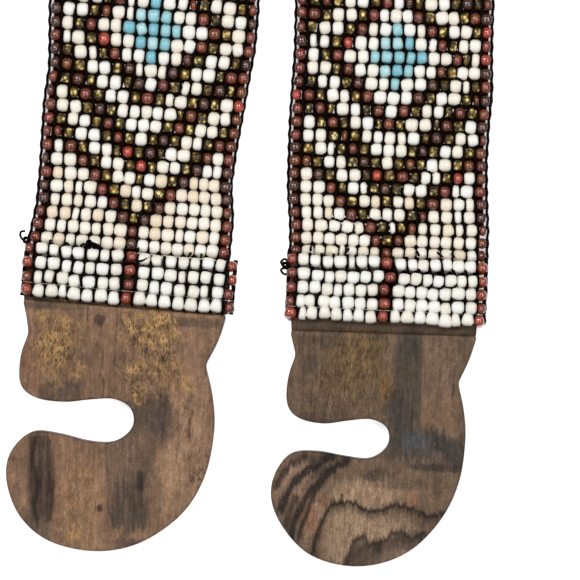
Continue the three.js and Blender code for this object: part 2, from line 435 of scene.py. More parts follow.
def bead_shape(cut):
    """One bead of half-length 1 and radius 1: a rounded profile turned round the x axis, which is its
    hole, and closed through the hole."""
    profile = np.array(bead_cuts[cut])
    angle = 2 * pi * np.arange(bead_sides) / bead_sides
    x = np.broadcast_to(profile[:, :1], (len(profile), bead_sides))
    points = np.stack([x, profile[:, 1:] * np.cos(angle), profile[:, 1:] * np.sin(angle)], -1)
    return points.reshape(-1, 3), grid_quads(len(profile), bead_sides, closed_rings=True)


def bead_list(side, rows, turned=False):
    """Rows of strung beads on one side of the belt as flat arrays, one value for each bead."""
    listed = {key: rows[key].ravel() for key in ("row", "column", "letter", "length", "middle")}
    count = len(listed["row"])
    return listed | {"side": np.full(count, side), "turned": np.full(count, turned)}


band_beads = [bead_list(side, rows) for side, rows in loom.items()]
band_beads = {key: np.concatenate([each[key] for each in band_beads]) for key in band_beads[0]}


def bead_places(beads):
    """Centre and directions of each bead in the band: hole along outwards, front up."""
    side, row = beads["side"], beads["row"]
    distance = row_distance(side, row)
    count = len(distance)
    ripple = 0.00010 * np.sin(beads["column"] * 0.8 + row * 0.5) + dice.normal(0, 0.00006, count)
    along = side * (half_length - distance) + ripple
    across = side * beads["middle"] + dice.normal(0, 0.00004, count)
    middle = on_band(along, across, dice.normal(0.00004, 0.00006, count))
    _, outwards, front, travel = band_frame(along)
    return middle, outwards, -travel, front


def grow_beads(name, beads, chosen, places, tints, material, slot, node):
    """Every chosen bead as one mesh. Each bead gets its own length, diameter, taper and small turns,
    its own tint, and its local place, from -1 to 1 each way, for the material."""
    letters = beads["letter"][chosen]
    shape, quads = bead_shape(bead_sizes[letters[0]]["cut"])
    middle, hole, rise, front = (each[chosen] for each in places)
    side, row = beads["side"][chosen], beads["row"][chosen]
    turned = beads["turned"][chosen]
    count = len(letters)
    mean_diameter = np.array([bead_sizes[letter]["diameter"] for letter in letters])
    reach = beads["length"][chosen] / 2
    inner = np.minimum(row, middle_row - 1)
    nearby = row_distance(side, inner + 0.5) - row_distance(side, inner - 0.5)
    snug = np.where(turned, turned_share, np.where(row < 1, 1.0, nearby / row_pitch))
    last = turned & (row == 0)
    radius = mean_diameter / 2 * snug * dice.normal(1.0, 0.025, count) * np.where(last, 1.06, 1.0)
    taper = dice.normal(0, 0.05, count) - np.where(last, 0.2, 0)
    yaw = dice.normal(0, radians(4.5), count)[:, None]
    pitch = dice.normal(0, radians(2.5), count)[:, None]
    x = shape[None, :, 0] * reach[:, None] * (1 + taper[:, None] * shape[None, :, 1])
    y = shape[None, :, 1] * radius[:, None]
    z = shape[None, :, 2] * radius[:, None]
    x, y = x * np.cos(yaw) - y * np.sin(yaw), x * np.sin(yaw) + y * np.cos(yaw)
    x, z = x * np.cos(pitch) - z * np.sin(pitch), x * np.sin(pitch) + z * np.cos(pitch)
    points = (middle[:, None] + x[..., None] * hole[:, None] + y[..., None] * rise[:, None]
              + z[..., None] * front[:, None])
    tint = np.array([paint(code) for code in tints])[dice.integers(0, len(tints), count)]
    seed = dice.random(count)
    make_mesh(
        name, points, repeated(quads, count, len(shape)), material, slot, node,
        tint=np.repeat(tint, len(shape), 0), seed=np.repeat(seed, len(shape)),
        place=np.tile(shape, (count, 1)),
    )


def glass_material(name, roughness, rim_shade, rim_shade_steep, painted_glow, painted_lining_highlight=0.0, coat=1.0):
    """Bead glass. The bead's own tint gets painted shade towards its ends and flanks, and painted light through
    the glass brightens it in a soft patch off its middle.
    Where the bead has a bright lining, painted reflections of the lining lie near its middle as bright spots
    with dark lines between them."""
    glass = Finish(name)
    local, seed = glass.attribute("place", "Vector"), glass.attribute("seed")
    x, y, _ = glass.node("SeparateXYZ", {"Vector": local}).outputs
    ends, flank = (glass.math("POWER", glass.math("ABSOLUTE", part), rim_shade_steep) for part in (x, y))
    outer = glass.math("MAXIMUM", ends, flank)
    # Painted shade: the tint is darkened towards the bead's ends and flanks, most strongly at the outer edge.
    rim = glass.math("MULTIPLY", outer, rim_shade * 1.25, clamp=True)
    colour = glass.mix("MULTIPLY", rim, glass.attribute("tint", "Color"), paint("#40281C"))
    # Painted light: a soft peach patch off the middle brightens the tint, as light shining through the glass
    # would.
    cloud = glass.noise({"Vector": local, "W": glass.math("MULTIPLY", seed, 50.0), "Scale": 1.3, "Detail": 2},
                        noise_dimensions="4D")
    dab = glass.math("MULTIPLY", glass.remap(cloud, 0.48, 0.75), painted_glow)
    colour = glass.mix("MIX", dab, colour, paint("#E09A6A"))
    if painted_lining_highlight:
        # Painted reflections of the bright lining: bright gold spots near the middle and dark lines between
        # them.
        facets = glass.node(
            "TexVoronoi", {"Vector": local, "W": glass.math("MULTIPLY", seed, 90.0), "Scale": 1.25},
            voronoi_dimensions="4D").outputs["Distance"]
        spark = glass.math("MULTIPLY", glass.remap(facets, 0.52, 0.36), glass.remap(outer, 0.60, 0.25))
        colour = glass.mix("MIX", glass.math("MULTIPLY", spark, painted_lining_highlight), colour, paint("#F3DC90"))
        dark = glass.math("MULTIPLY", glass.remap(facets, 0.62, 0.76), 0.85)
        colour = glass.mix("MIX", dark, colour, paint("#1E1406"))
    return glass.shade({
        "Base Color": colour, "Roughness": roughness, "Specular IOR Level": 0.15,
        "Coat Weight": coat, "Coat Roughness": 0.04, "Coat IOR": 1.9,
    })


ivory = glass_material("ivory glass", 0.45, 0.16, 6.0, 0.0, coat=0.3)
red_brown = glass_material("red-brown glass", 0.35, 0.6, 3.0, 0.09, coat=0.85)
bright_red = glass_material("orange-red glass", 0.35, 0.45, 3.0, 0.10)
gold = glass_material("silver-lined amber glass", 0.35, 1.0, 2.5, 0.0, painted_lining_highlight=0.95, coat=0.35)
turquoise = glass_material("turquoise glass", 0.4, 0.4, 4.0, 0.14, coat=0.35)
ivory_tints = ["#FFFAF0", "#FEF7EA", "#FFFCF5", "#FCF4E4", "#FEF8EC", "#FFFBF2", "#FAF2E2"]
tan_tints = ["#FCF3E4", "#F8EBD6", "#FDF7EC", "#F3E2C8", "#FBF1E0"]
brown_tints = ["#702C1A", "#652718", "#552215", "#462318", "#723918", "#4C2A20", "#7C3426", "#7C371C",
               "#692E17"]
red_tints = ["#AE3A28", "#B8442C", "#A33C2A"]
gold_tints = ["#7E611C", "#70581A", "#866620", "#5E4C1C", "#785E24"]
turquoise_tints = ["#A0D8E0", "#80C4D6", "#BAE4E9", "#90CDD6"]

letter = band_beads["letter"]
row, column, side = band_beads["row"], band_beads["column"], band_beads["side"]
lucky = dice.random(len(row)) < 0.05
named_red = (
    ((side > 0) & (column == 16) & np.isin(row, (20, 22)))
    | ((side > 0) & (column == 0) & (row == 17))
)
is_red = (letter == "B") & (lucky | named_red)
near_seam = (row >= 4) & (row <= 9) & (dice.random(len(row)) < 0.75)
places = bead_places(band_beads)
white = letter == "W"
for name, chosen, tints, material, slot in (
    ("ivory_beads_left", white & ~near_seam & (side < 0), ivory_tints, ivory, "ivory_beads"),
    ("ivory_beads_right", white & ~near_seam & (side > 0), ivory_tints, ivory, "ivory_beads"),
    ("tan_beads", white & near_seam, tan_tints, ivory, "ivory_beads"),
    ("red_brown_beads", (letter == "B") & ~is_red, brown_tints, red_brown, "red_brown_beads"),
    ("bright_red_beads", is_red, red_tints, bright_red, "bright_red_beads"),
    ("gold_beads", letter == "G", gold_tints, gold, "gold_beads"),
    ("turquoise_beads", letter == "T", turquoise_tints, turquoise, "turquoise_beads"),
):
    grow_beads(name, band_beads, chosen, places, tints, material, slot, "beaded_band")

# Turned-back ends. The last rows lie over the front of each hook's thinned head and fall to the band,
# where their edge is knotted down. A thick black thread edges them on both sides.
flaps = {
    -1: {"hand": "left", "node": "flap_left", "rows": [0.0019, 0.0049, 0.0080, 0.0112], "length": 0.0123,
         "stretch": 1.075, "drift": -0.0001, "slant": -0.006, "parting": -0.00025, "pinch": 0.0},
    1: {"hand": "right", "node": "flap_right", "rows": [0.0012, 0.0039, 0.0070, 0.0100, 0.0134],
        "length": 0.0152, "stretch": 1.012, "drift": 0.0003, "slant": -0.012, "parting": 0.00045,
        "pinch": 0.03},
}
white_tints = ["#FAF7EF", "#F8F4EA", "#FBF9F3", "#F4EEE2"]
flap_brown_tints = ["#8A3420", "#7C2C1C", "#963C26", "#74301E"]
flap_wave, flap_ripple = 0.00018, 0.0001
tongue_bottom = band_thickness + 0.0003
tongue_thickness = 0.0022
tongue_top = tongue_bottom + tongue_thickness
tongue_reach = 0.0075
flap_level = tongue_top + 0.0003 + band_thickness / 2
flap_sewn = band_thickness + 0.0003 + band_thickness / 2
edge_thread_radius = 0.00030
edge_thread_turn = 0.0062
edge_thread_coil = 0.00024
edge_thread_inset = 0.00060


def flap_frame(side, distance):
    """Middle of a turned-back end and its directions: level over the tongue, then a smooth fall to the
    band. Outwards, rise away from the hook, and front."""
    distance = np.asarray(distance, float)
    length = flaps[side]["length"]
    fall = length - tongue_reach
    part = np.clip((distance - tongue_reach) / fall, 0, 1)
    drop = flap_level - flap_sewn
    height = flap_level - drop * part * part * (3 - 2 * part)
    slope = -drop * 6 * part * (1 - part) / fall
    x, y, heading = lay_line(distance)
    zero = np.zeros_like(x)
    outwards = np.stack([side * np.cos(heading), -np.sin(heading), zero], -1)
    level = np.stack([side * np.sin(heading), np.cos(heading), zero], -1)
    up = np.array([0.0, 0.0, 1.0])
    tilt = np.arctan(slope)[..., None]
    rise = np.cos(tilt) * level + np.sin(tilt) * up
    front = np.cos(tilt) * up - np.sin(tilt) * level
    middle = np.stack([side * x + lay_x, y + lay_y, height], -1)
    return middle, outwards, rise, front


def on_flap(side, distance, across, lift):
    """A point of a turned-back end, across measured towards the photograph's right. The beads are
    drawn a little slantwise over the tongue."""
    flap = flaps[side]
    middle, outwards, rise, front = flap_frame(side, np.asarray(distance) + flap["slant"] * across)
    tight = flap["pinch"] * np.clip(1 - (distance - flap["rows"][0]) / (2 * row_pitch), 0, 1)
    across = across * np.where(across > 0, 1 - tight, 1)
    past = (np.abs(across) > column_pitch * 0.45) & (across * flap["parting"] > 0)
    across = across + np.where(past, flap["parting"] * (1 - np.abs(across) / (10 * column_pitch)), 0)
    shifted = side * (across * flap["stretch"] + flap["drift"])
    return middle + shifted[..., None] * outwards + np.asarray(lift)[..., None] * front


for side, flap in flaps.items():
    hand, node = flap["hand"], flap["node"]
    rows = strung(len(flap["rows"]))
    beads = bead_list(side, rows, turned=True)
    count = len(beads["row"])
    place = beads["column"] - bead_columns // 2
    distance = np.array(flap["rows"])[beads["row"]] + dice.normal(0, 0.00008, count)
    distance += (flap_wave * np.sin(place * 0.9 + beads["row"] * 0.7)
                 + flap_ripple * np.sin(place * 2.1 + beads["row"]))
    across = beads["middle"] + dice.normal(0, 0.0001, count)
    _, outwards, rise, front = flap_frame(side, distance)
    spot = on_flap(side, distance, across, dice.normal(0, 0.00006, count))
    flap_places = (spot, side * outwards, rise, front)
    edge = beads["letter"] == "B"
    red = edge & (beads["column"] != bead_columns // 2) & (side > 0) & (beads["row"] == 0)
    for name, chosen, tints, material, slot in (
        ("white", ~edge, white_tints, ivory, "ivory_beads"),
        ("brown", edge & ~red, flap_brown_tints, red_brown, "red_brown_beads"),
        ("red", red, red_tints, bright_red, "bright_red_beads"),
    ):
        if chosen.any():
            grow_beads(f"flap_{name}_beads_{hand}", beads, chosen, flap_places, tints, material, slot, node)
    steps = np.linspace(0, flap["length"], 14)
    lines = thread_lines(1, rows["lines"], np.interp(steps, flap["rows"], np.arange(len(flap["rows"]))))
    wide = lines[:, 1:-1].T
    far = np.broadcast_to(steps, wide.shape)
    _, outwards, rise, front = flap_frame(side, far)
    threads(f"flap_threads_{hand}", on_flap(side, far, wide, np.full(wide.shape, -0.0001)),
            0.0004, warp_half_height, side * outwards, front, black_thread, "warp_thread", node)
    steps = np.linspace(0.0002, flap["length"] + 0.0006, 30)
    far, wide = np.meshgrid(steps, np.repeat(column_lines[[0, -1]], 3))
    phase = far * 2 * pi / edge_thread_turn + (np.arange(6) % 3 * 2 * pi / 3)[:, None]
    phase = phase + dice.normal(0, 0.2, far.shape)
    apart = np.sign(wide) * (edge_thread_coil * np.cos(phase) - edge_thread_inset)
    _, outwards, rise, front = flap_frame(side, far)
    lift = 0.00028 * np.sin(phase) - 0.0002
    threads(f"flap_edge_thread_{hand}", on_flap(side, far, wide + apart, lift), edge_thread_radius,
            edge_thread_radius, side * outwards, front, black_thread, "warp_thread", node, sides=7)

# Stitches, knots and thread tails along the sewn edge of each turned-back end. The clear nylon that
# strings the beads runs over the last rows and is knotted in, and black warp ends are left sticking out.
nylon_radius = 0.000065
stitch_radius = 0.00028
tail_radius = 0.00027
photo_centre = 290
photo_pixel = 0.0002318
photo_turn = radians(3.45)
photo_middle = np.array([lay_x + 0.0076, lay_y + 0.00595])


def nylon_material():
    """Clear nylon thread, milky where it bends."""
    nylon = Finish("clear nylon")
    milk = nylon.noise({"Vector": nylon.place(), "Scale": 500})
    return nylon.shade({
        "Base Color": nylon.ramp(milk, (0.0, "#BDB7AE"), (1.0, "#F4F1EA")),
        "Roughness": 0.15, "Transmission Weight": 0.35,
    })


clear_nylon = nylon_material()


def photo_spot(px, py, height):
    """The point at some height that the photograph shows at a pixel."""
    right = (np.asarray(px, float) - photo_centre) * photo_pixel
    up = (photo_centre - np.asarray(py, float)) * photo_pixel
    x = photo_middle[0] + right * cos(photo_turn) - up * sin(photo_turn)
    y = photo_middle[1] + right * sin(photo_turn) + up * cos(photo_turn)
    return np.stack([x, y, np.broadcast_to(height, x.shape)], -1)


def photo_pixels(points):
    """The pixel at which the photograph shows each point."""
    right, up = ((points[:, :2] - photo_middle) / photo_pixel).T
    return (photo_centre + right * cos(photo_turn) + up * sin(photo_turn),
            photo_centre + right * sin(photo_turn) - up * cos(photo_turn))


def smooth_path(points, steps_a_span):
    """A curve through the points: on each span a cubic whose slope at a point is half the line between
    its neighbours."""
    points = np.asarray(points, float)
    padded = np.vstack([points[:1], points, points[-1:]])
    before, here, there, after = padded[:-3, None], padded[1:-2, None], padded[2:-1, None], padded[3:, None]
    t = (np.arange(steps_a_span) / steps_a_span)[None, :, None]
    slope, next_slope = (there - before) / 2, (after - here) / 2
    curve = ((2 * here - 2 * there + slope + next_slope) * t ** 3
             + (-3 * here + 3 * there - 2 * slope - next_slope) * t ** 2 + slope * t + here)
    return np.vstack([curve.reshape(-1, points.shape[1]), points[-1:]])


def thread_piece(name, paths, radius, material, slot):
    """Loose threads, each a path of equally many points, as round tubes. At each step one axis is level
    and across the path, and the other is across both."""
    centre = np.stack(paths)
    travel = np.gradient(centre, axis=1)
    travel /= np.linalg.norm(travel, axis=-1, keepdims=True) + 1e-12
    level = np.cross(travel, np.array([0.02, 0.03, 1.0]))
    level /= np.linalg.norm(level, axis=-1, keepdims=True) + 1e-12
    up = np.cross(level, travel)
    threads(name, centre, radius, radius, level, up, material, slot, sides=6)


for side, flap in flaps.items():
    hand = flap["hand"]
    count = 160
    across = np.linspace(-0.98, 0.98, count) * half_row
    far = (flap["rows"][0] + flap["rows"][1]) / 2
    weave = 0.00025 * np.sin(across / column_pitch * 2 * pi + 0.6)
    line = on_flap(side, np.full(count, far), across, 0.0006 + weave)
    thread_piece(f"flap_nylon_{hand}", [line], nylon_radius, clear_nylon, "nylon_thread")
    t = np.linspace(0, 1, 7)
    stitches = []
    for spot in dice.permutation(column_lines[1:-1])[:6]:
        lean = dice.normal(0, 0.0006)
        distance = flap["length"] + 0.0002 + 0.0011 * t
        wide = np.full(7, spot) + lean * t
        top = on_flap(side, np.full(7, flap["length"] + 0.0002), wide, np.zeros(7))
        away = flap_frame(side, distance)[0] - flap_frame(side, np.full(7, flap["length"]))[0]
        path = top + away * np.array([1, 1, 0])
        path[:, 2] = flap_sewn - 0.0028 * t ** 1.3
        stitches.append(path)
    thread_piece(f"seam_stitches_{hand}", stitches, stitch_radius, black_thread, "warp_thread")

# Knots and tails by the photograph's pixels. The third number is a knot's size, and a tail's height in
# millimetres.
knot_height = 0.0049
knot_size = 0.00036
knots = {
    "left": [(92, 247, 2.2), (97, 251, 2.4), (101, 255.5, 2.1), (106, 259, 1.6), (89, 243.5, 1.5),
             (83, 246, 1.2), (76, 247.5, 1.1), (67, 245, 1.1), (94, 256, 1.4), (143, 262, 1.1),
             (26, 240, 1.4), (176, 262, 0.9), (222, 262, 1.0)],
    "right": [(285, 265, 1.5), (452, 265, 1.2), (312, 262, 1.0), (386, 268, 1.3), (420, 266, 0.9),
              (484, 266, 1.1)],
}


def knot_shape(turns=3, steps=40, sides=6):
    """A thread wound on itself: its path runs round a small ring and up and down through it three times
    for every two turns, and the tube's walls follow that path."""
    t = np.linspace(0, 2 * pi, steps, endpoint=False)
    path = np.stack([(1 + 0.38 * np.cos(turns * t)) * np.cos(2 * t),
                     (1 + 0.38 * np.cos(turns * t)) * np.sin(2 * t), 0.5 * np.sin(turns * t)], -1)
    travel = np.roll(path, -1, 0) - np.roll(path, 1, 0)
    travel /= np.linalg.norm(travel, axis=1, keepdims=True)
    first = np.cross(travel, [0.0, 0.0, 1.0])
    first /= np.linalg.norm(first, axis=1, keepdims=True)
    second = np.cross(travel, first)
    angle = 2 * pi * np.arange(sides) / sides
    ring = path[:, None] + 0.42 * (np.cos(angle)[None, :, None] * first[:, None]
                                   + np.sin(angle)[None, :, None] * second[:, None])
    return ring.reshape(-1, 3), grid_quads(steps, sides, closed_rings=True)


shape, quads = knot_shape()
for hand, table in knots.items():
    table = np.array(table)
    spot = photo_spot(table[:, 0], table[:, 1], knot_height)
    size = table[:, 2] * knot_size
    turn = dice.random(len(table)) * 2 * pi
    c, s = np.cos(turn)[:, None], np.sin(turn)[:, None]
    x = (shape[None, :, 0] * c - shape[None, :, 1] * s) * size[:, None]
    y = (shape[None, :, 0] * s + shape[None, :, 1] * c) * size[:, None]
    z = shape[None, :, 2] * size[:, None] * 1.3
    points = spot[:, None] + np.stack([x, y, z], -1)
    make_mesh(f"seam_knots_{hand}", points, repeated(quads, len(table), len(shape)), black_thread,
              "warp_thread")

tails = {
    "tail_left_edge": [(31, 246, 4.2), (26, 242, 5.0), (21, 237, 5.6), (21, 232, 5.4), (25, 231, 5.0)],
    "tail_left_seam": [(134, 259, 5.6), (139, 261, 6.3), (144, 260, 6.4), (149, 257, 6.0)],
    "tail_right_edge": [(289, 268, 4.6), (284, 266, 5.3), (281, 262, 5.6), (285, 259, 5.2), (288, 262, 4.6)],
    "tail_right_loop": [(289, 274, 5.0), (284, 274, 5.4), (281, 270, 5.5), (285, 268, 5.1), (289, 270, 4.8)],
}
for name, table in tails.items():
    table = np.array(table)
    path = smooth_path(photo_spot(table[:, 0], table[:, 1], table[:, 2] / 1000), 6)
    thread_piece(name, [path], tail_radius, black_thread, "warp_thread")

# Carved hooks, sawn and filed out of a dark streaky hardwood, rubbed smooth and oiled. Each head is
# thinned to a tongue with a row of holes that takes the warp threads, and the beadwork is turned over it.
wood_thickness = 0.0065
edge_round = 0.0007
outline_step = 0.00035
corner_softness = 0.0007
back_spacing, face_spacing = 0.0025, 0.0003
tongue_holes = 9
tongue_hole_radius = 0.0006
hooks = {
    "left": {
        "side": -1, "width": 0.0474, "length": 0.0570, "turn": 0.4, "shift": -0.0006, "gap": 0.0003,
        "slot": "flecked_wood", "look": ("flecked oiled wood", 0.85, 0.0, 0.42),
        "outline": [
            [(-0.500, 0.000), (-0.475, 0.069), (-0.458, 0.137)],
            [(-0.458, 0.137), (-0.488, 0.233), (-0.477, 0.347), (-0.396, 0.396), (-0.258, 0.404),
             (-0.132, 0.386), (-0.015, 0.376), (0.071, 0.410), (0.084, 0.485), (0.001, 0.548),
             (-0.125, 0.554), (-0.269, 0.534), (-0.407, 0.536), (-0.501, 0.626), (-0.509, 0.740),
             (-0.440, 0.870), (-0.312, 0.960), (-0.141, 0.997), (0.034, 0.990), (0.201, 0.934),
             (0.365, 0.814), (0.456, 0.662), (0.484, 0.478), (0.463, 0.337), (0.416, 0.210)],
            [(0.416, 0.210), (0.469, 0.108), (0.500, 0.000)],
        ],
    },
    "right": {
        "side": 1, "width": 0.0434, "length": 0.0543, "turn": 0.15, "shift": 0.0, "gap": 0.00265,
        "slot": "ringed_wood", "look": ("ringed oiled wood", 0.12, 0.85, 0.46),
        "outline": [
            [(-0.500, 0.000), (-0.484, 0.055), (-0.465, 0.104)],
            [(-0.465, 0.104), (-0.502, 0.201), (-0.505, 0.312), (-0.447, 0.372), (-0.312, 0.395),
             (-0.174, 0.379), (-0.051, 0.370), (0.036, 0.407), (0.041, 0.482), (-0.050, 0.537),
             (-0.184, 0.531), (-0.335, 0.514), (-0.478, 0.529), (-0.563, 0.629), (-0.569, 0.740),
             (-0.492, 0.858), (-0.360, 0.955), (-0.171, 0.998), (0.021, 0.984), (0.200, 0.912),
             (0.349, 0.773), (0.431, 0.613), (0.454, 0.433), (0.438, 0.310), (0.405, 0.204)],
            [(0.405, 0.204), (0.460, 0.106), (0.500, 0.000)],
        ],
    },
}


def even_loop(points, step, softness):
    """A closed outline with points a step apart, its corners rounded by a running bell-shaped mean."""
    closed = np.vstack([points, points[:1]])
    reach = np.r_[0, np.cumsum(np.linalg.norm(np.diff(closed, axis=0), axis=1))]
    count = int(reach[-1] / step)
    at = np.linspace(0, reach[-1], count, endpoint=False)
    loop = np.stack([np.interp(at, reach, closed[:, 0]), np.interp(at, reach, closed[:, 1])], -1)
    offset = (np.arange(count) + count // 2) % count - count // 2
    bell = np.exp(-0.5 * (offset * step / softness) ** 2)
    spectrum = np.fft.fft(bell / bell.sum())[:, None]
    return np.real(np.fft.ifft(np.fft.fft(loop, axis=0) * spectrum, axis=0))


def inset(loop, distance):
    """The outline moved inwards at right angles to itself. It runs anticlockwise."""
    travel = np.roll(loop, -1, 0) - np.roll(loop, 1, 0)
    travel /= np.linalg.norm(travel, axis=1, keepdims=True)
    inwards = np.stack([-travel[:, 1], travel[:, 0]], -1)
    return loop + inwards * distance


def fill(loops, spacing, holes=()):
    """Triangles that fill an outline, with loose points on a jittered grid inside it, and round holes,
    given as (x, y, radius), left open. The outline's own points come first."""
    ring = np.vstack(loops)
    starts = np.cumsum([0] + [len(loop) for loop in loops])
    edges = [(a + i, a + (i + 1) % (b - a)) for a, b in zip(starts[:-1], starts[1:]) for i in range(b - a)]
    low, high = ring.min(0), ring.max(0)
    grid = np.stack(np.meshgrid(np.arange(low[0], high[0], spacing), np.arange(low[1], high[1], spacing)), -1)
    loose = grid.reshape(-1, 2) + np.random.default_rng(5).uniform(-0.2, 0.2, (grid.size // 2, 2)) * spacing
    apart = np.concatenate([np.sqrt(((part[:, None] - ring[None]) ** 2).sum(-1)).min(1)
                            for part in np.array_split(loose, 40)])
    loose = loose[apart > spacing * 0.55]
    points = np.vstack([ring, loose])
    made = delaunay_2d_cdt([tuple(p) for p in points.tolist()], edges, [list(range(len(loops[0])))], 1, 1e-9)
    corner = np.array([tuple(p) for p in made[0]])
    faces = np.array(made[2])
    centre = corner[faces].mean(1)
    for x, y, radius in holes:
        faces = faces[np.hypot(centre[:, 0] - x, centre[:, 1] - y) > radius * 0.9]
        centre = corner[faces].mean(1)
    first, second, third = (corner[faces[:, i]] for i in range(3))
    turned = np.cross(second - first, third - first) < 0
    faces[turned] = faces[turned][:, ::-1]
    return corner, faces


def hook_point(hook, points):
    """Points of a hook, from the middle of its shoulder line, in the belt's frame."""
    lean = hook["side"] * strip_lean
    turn = lean + radians(hook["turn"])
    origin = np.array([lay_x + hook["side"] * end_spacing / 2, lay_y])
    shift = np.array([hook["shift"], -hook["gap"]])
    x = origin[0] + shift[0] * cos(lean) - shift[1] * sin(lean)
    y = origin[1] + shift[0] * sin(lean) + shift[1] * cos(lean)
    return np.stack([x + points[:, 0] * cos(turn) - points[:, 1] * sin(turn),
                     y + points[:, 0] * sin(turn) + points[:, 1] * cos(turn), points[:, 2]], -1)


def hook_body(hook):
    """Points and faces of a hook below its shoulders: rings that follow the outline round the quarter
    circles of its edges, and a filled face above and below that waves very slightly where it was filed."""
    size = np.array([hook["width"], -hook["length"]])
    run = [smooth_path(np.array(part) * size, 8)[:-1] for part in hook["outline"]]
    last = np.array([hook["outline"][-1][-1]]) * size
    loop = even_loop(np.vstack([*run, last]), outline_step, corner_softness)
    angle = np.linspace(0, pi / 2, 5)
    rings = np.r_[np.stack([1 - np.sin(angle), 1 - np.cos(angle)], -1) * edge_round,
                  np.stack([1 - np.sin(angle), wood_thickness / edge_round - 1 + np.cos(angle)], -1)[::-1]
                  * edge_round]
    wall = np.vstack([np.c_[inset(loop, away), np.full(len(loop), height)] for away, height in rings])
    count = len(loop)
    rim = inset(loop, edge_round)
    faces = grid_quads(len(rings), count).tolist()
    parts = [wall]
    for spacing, height, first in (
            (back_spacing, 0.0, 0), (face_spacing, wood_thickness, (len(rings) - 1) * count)):
        cap, triangles = fill([rim], spacing)
        inner = cap[count:]
        apart = np.sqrt(((inner[:, None] - rim[None, ::4]) ** 2).sum(-1)).min(1)
        ripple = (0.00007 * np.sin(inner[:, 0] * 390 + 1) * np.sin(inner[:, 1] * 260 + hook["side"])
                  + 0.00004 * np.sin(inner[:, 0] * 900 + inner[:, 1] * 500))
        ripple *= np.clip(apart / 0.004, 0, 1) * (height > 0)
        start = sum(len(part) for part in parts)
        triangles = np.where(triangles < count, triangles + first, triangles - count + start)
        faces += (triangles if height else triangles[:, ::-1]).tolist()
        parts.append(np.c_[inner, height + ripple])
    return np.vstack(parts), faces


def hook_tongue(hook):
    """The thinned head: a plate that widens a little away from the hook, with nine holes through it. Its
    walls run round the outline and round each hole."""
    reach = hook["gap"] + tongue_reach
    half = hook["width"] / 2 - 0.0003
    root = -0.0012
    corners = np.array([(-half + 0.0004, root), (half - 0.0004, root), (half, 0), (half + 0.0006, reach),
                        (-half - 0.0006, reach), (-half, 0)])
    outline = even_loop(corners, 0.0005, 0.0003)
    turns = 2 * pi * np.arange(12) / 12
    middle = (np.arange(tongue_holes) - tongue_holes // 2) * 2 * column_pitch
    holes = [(x, hook["gap"] + 0.0015, tongue_hole_radius) for x in middle]
    rounds = [np.stack([x + r * np.cos(turns), y + r * np.sin(turns)], -1) for x, y, r in holes]
    flat, triangles = fill([outline, *rounds], 0.0022, holes)
    count = len(flat)
    points = np.vstack([np.c_[flat, np.full(count, tongue_bottom)], np.c_[flat, np.full(count, tongue_top)]])
    faces = triangles[:, ::-1].tolist() + (triangles + count).tolist()
    start = 0
    for loop, outer in [(outline, True)] + [(ring, False) for ring in rounds]:
        i = start + np.arange(len(loop))
        after = start + (np.arange(len(loop)) + 1) % len(loop)
        if not outer:
            i, after = after, i
        faces += np.stack([i, after, after + count, i + count], -1).tolist()
        start += len(loop)
    return points, faces
